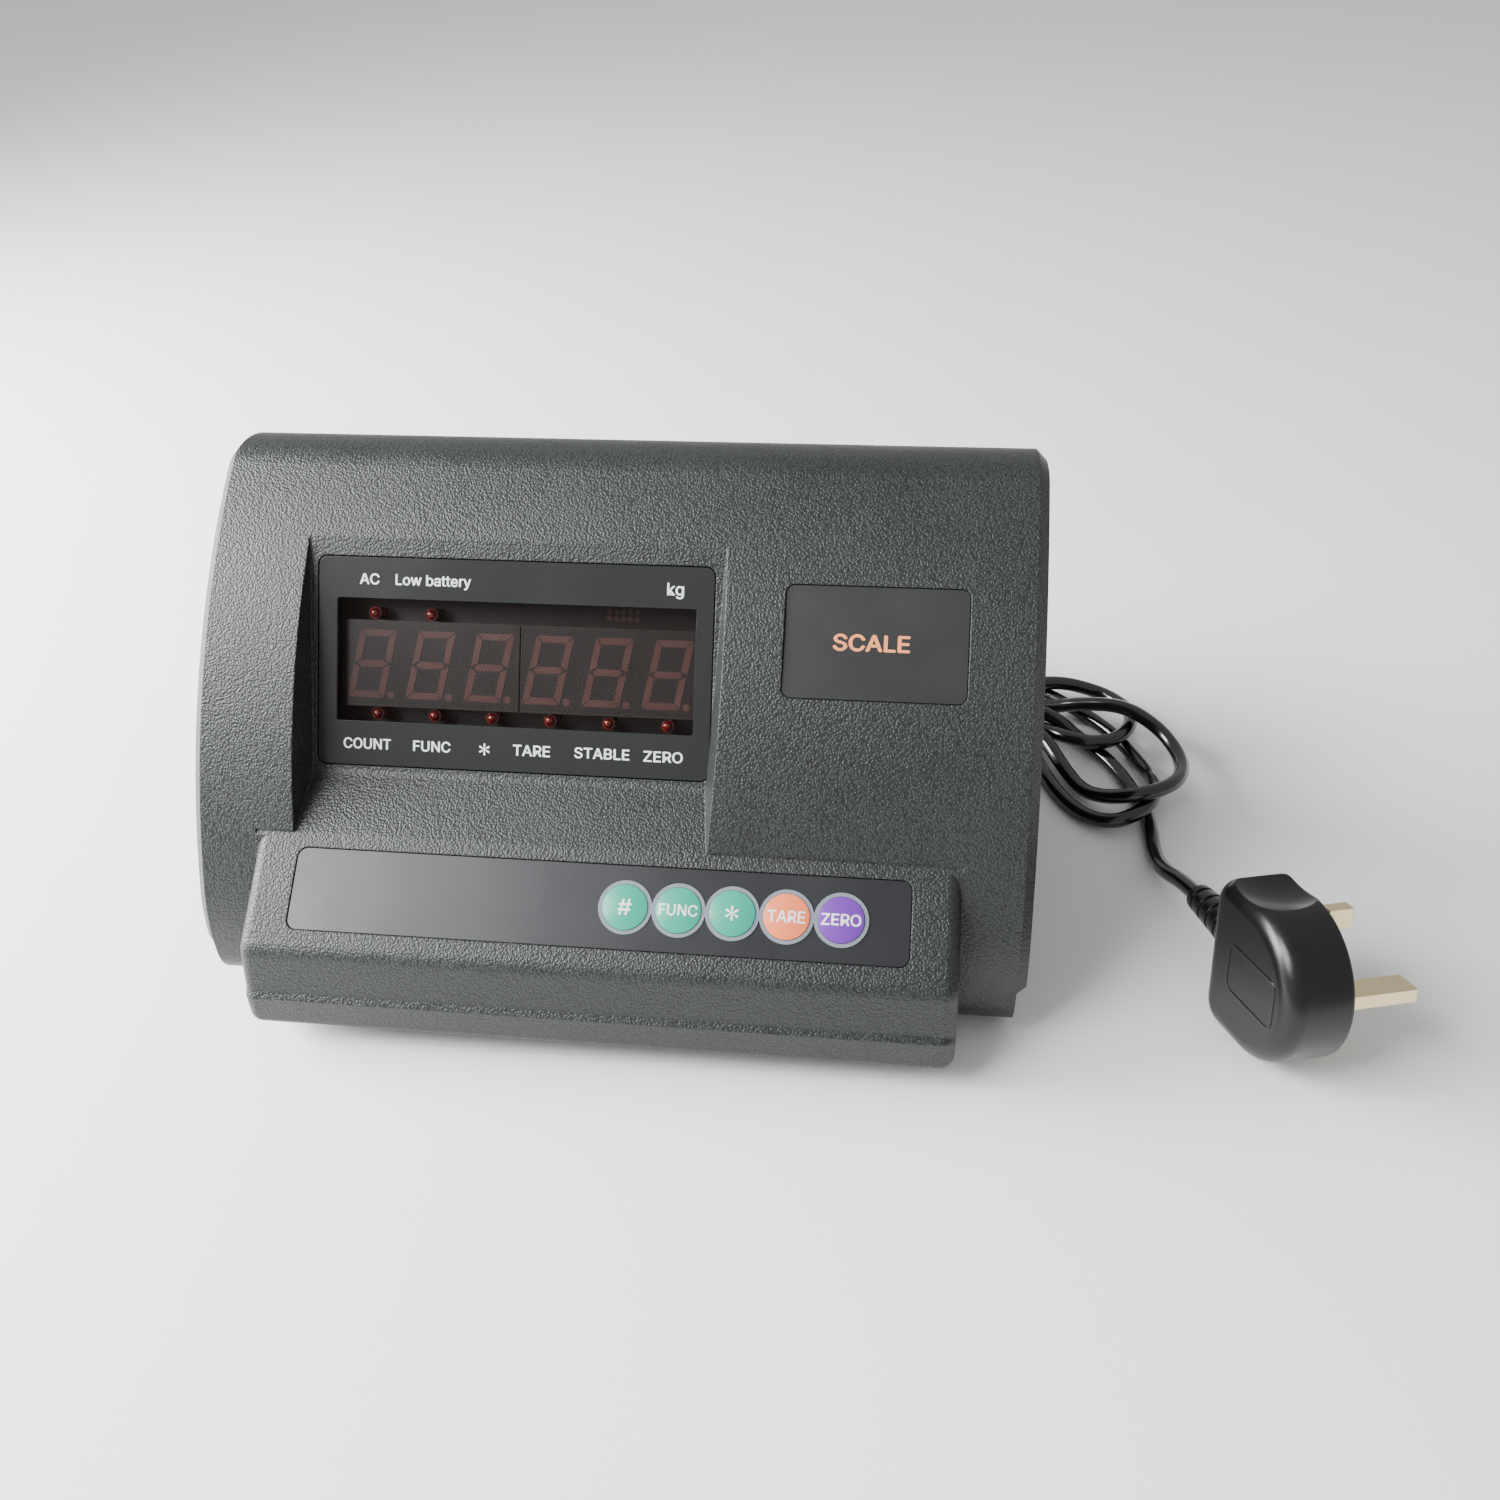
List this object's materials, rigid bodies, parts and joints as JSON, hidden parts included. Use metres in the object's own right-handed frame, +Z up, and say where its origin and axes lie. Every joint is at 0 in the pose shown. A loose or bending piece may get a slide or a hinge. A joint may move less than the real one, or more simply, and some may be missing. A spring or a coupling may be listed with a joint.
{
  "type": "weighing terminal",
  "caption": "Desk-top weighing terminal: black wedge-shaped case with a recessed numeric display, a projecting lip with round keys, rear sockets, and a looped mains lead with a moulded plug.",
  "frame": {"origin": "on the table under the middle of the case, feet resting at z 0, cord and plug left out", "axes": "+X to the right of a person facing the display, +Y to the back, +Z up"},
  "size_m": [0.348, 0.2148, 0.1372],
  "materials": {
    "case_plastic": "black ABS with a fine pebbled grain",
    "tinted_window": "smoked red acrylic with a printed dark grey border",
    "display_block": "dark filled block with unlit dull pink segments",
    "lamp_red": "unlit dark red lens",
    "circuit_board": "green solder mask",
    "plated_steel": "bright zinc plate",
    "plate_film": "smooth dark grey film",
    "overlay_film": "fine-grained dark grey polyester",
    "ring_print": "flat grey print",
    "flat_cable": "grey vinyl ribbon",
    "black_moulding": "black glass-filled nylon",
    "capacitor_sleeve": "dark blue shrink sleeve",
    "bare_aluminium": "extruded, clear anodised",
    "core_iron": "varnished laminations",
    "winding_tape": "amber tape over copper wire",
    "battery_case": "dark grey moulded ABS",
    "lead_red": "red vinyl insulation",
    "pin_brass": "bright machined brass",
    "bright_metal": "nickel plate",
    "rocker_gloss": "polished black nylon",
    "fuse_glass": "clear glass tube with plated caps",
    "cord_rubber": "soft black vinyl",
    "foot_rubber": "black rubber",
    "label_film": "satin silver polyester, blank",
    "cord_vinyl": "smooth black vinyl sheath",
    "plug_moulding": "satin black moulded vinyl",
    "key_green": "semi-gloss green, white printed legend",
    "key_orange": "semi-gloss orange, white printed legend",
    "key_purple": "semi-gloss purple, white printed legend"
  },
  "bodies": {
    "case": {"battery": "battery_case", "battery_leads": "lead_red", "battery_strap": "plated_steel", "battery_terminals": "pin_brass", "board_screws": "plated_steel", "bracket_inserts": "pin_brass", "buzzer": "black_moulding", "case_screws": "plated_steel", "cord_gland": "cord_rubber", "display_board": "circuit_board", "display_window": "tinted_window", "front_shell": "case_plastic", "fuse_holder": "black_moulding", "fuse_holder_nut": "black_moulding", "key_contacts": "plated_steel", "key_rings": "ring_print", "keypad_circuit": "circuit_board", "keypad_overlay": "overlay_film", "keypad_tail": "flat_cable", "led_module_left": "display_block", "led_module_right": "display_block", "load_cell_socket": "bright_metal", "load_cell_socket_nut": "bright_metal", "load_cell_socket_pins": "pin_brass", "main_board": "circuit_board", "main_board_chips": "black_moulding", "mains_cord_drop": "cord_vinyl", "mains_cord_hank": "cord_vinyl", "mains_cord_lead": "cord_vinyl", "name_plate": "plate_film", "plug_body": "plug_moulding", "plug_earth_pin": "pin_brass", "plug_live_pins": "pin_brass", "plug_pin_sleeves": "black_moulding", "plug_strain_relief": "plug_moulding", "power_switch_body": "black_moulding", "rating_label": "label_film", "rear_shell": "case_plastic", "regulator_heatsink": "bare_aluminium", "ribbon_cable": "flat_cable", "rubber_feet": "foot_rubber", "serial_port_insert": "black_moulding", "serial_port_posts": "plated_steel", "serial_port_shell": "bright_metal", "smoothing_capacitors": "capacitor_sleeve", "status_lamps": "lamp_red", "transformer_core": "core_iron", "transformer_strap": "plated_steel", "transformer_winding": "winding_tape"},
    "battery_door": {"battery_door": "case_plastic"},
    "rocker": {"power_switch_rocker": "rocker_gloss"},
    "fuse_carrier": {"fuse_cap": "black_moulding", "fuse": "fuse_glass"},
    "plug_carrier": {"plug_fuse_carrier": "plug_moulding"},
    "key_hash_button": {"key_hash": "key_green"},
    "key_func_button": {"key_func": "key_green"},
    "key_star_button": {"key_star": "key_green"},
    "key_tare_button": {"key_tare": "key_orange"},
    "key_zero_button": {"key_zero": "key_purple"}
  },
  "joints": [
    {"name": "hash_key_press", "type": "slide", "parent": "case", "child": "key_hash_button", "axis": [0, 0.5821, -0.8131], "range_m": [0, 0.0005], "stiffness_N_per_m": 800},
    {"name": "func_key_press", "type": "slide", "parent": "case", "child": "key_func_button", "axis": [0, 0.5821, -0.8131], "range_m": [0, 0.0005], "stiffness_N_per_m": 800},
    {"name": "star_key_press", "type": "slide", "parent": "case", "child": "key_star_button", "axis": [0, 0.5821, -0.8131], "range_m": [0, 0.0005], "stiffness_N_per_m": 800},
    {"name": "tare_key_press", "type": "slide", "parent": "case", "child": "key_tare_button", "axis": [0, 0.5821, -0.8131], "range_m": [0, 0.0005], "stiffness_N_per_m": 800},
    {"name": "zero_key_press", "type": "slide", "parent": "case", "child": "key_zero_button", "axis": [0, 0.5821, -0.8131], "range_m": [0, 0.0005], "stiffness_N_per_m": 800},
    {"name": "power_rocker_tilt", "type": "hinge", "parent": "case", "child": "rocker", "pos_m": [0.0625, 0.0625, 0.037], "axis": [1, 0, 0], "range_deg": [-22, 0]},
    {"name": "battery_door_slide", "type": "slide", "parent": "case", "child": "battery_door", "axis": [0, 1, 0], "range_m": [0, 0.04]},
    {"name": "fuse_carrier_pull", "type": "slide", "parent": "case", "child": "fuse_carrier", "axis": [0, 1, 0], "range_m": [0, 0.02]},
    {"name": "plug_carrier_pull", "type": "slide", "parent": "case", "child": "plug_carrier", "axis": [0.9593, 0.2787, -0.0454], "range_m": [0, 0.012]}
  ]
}
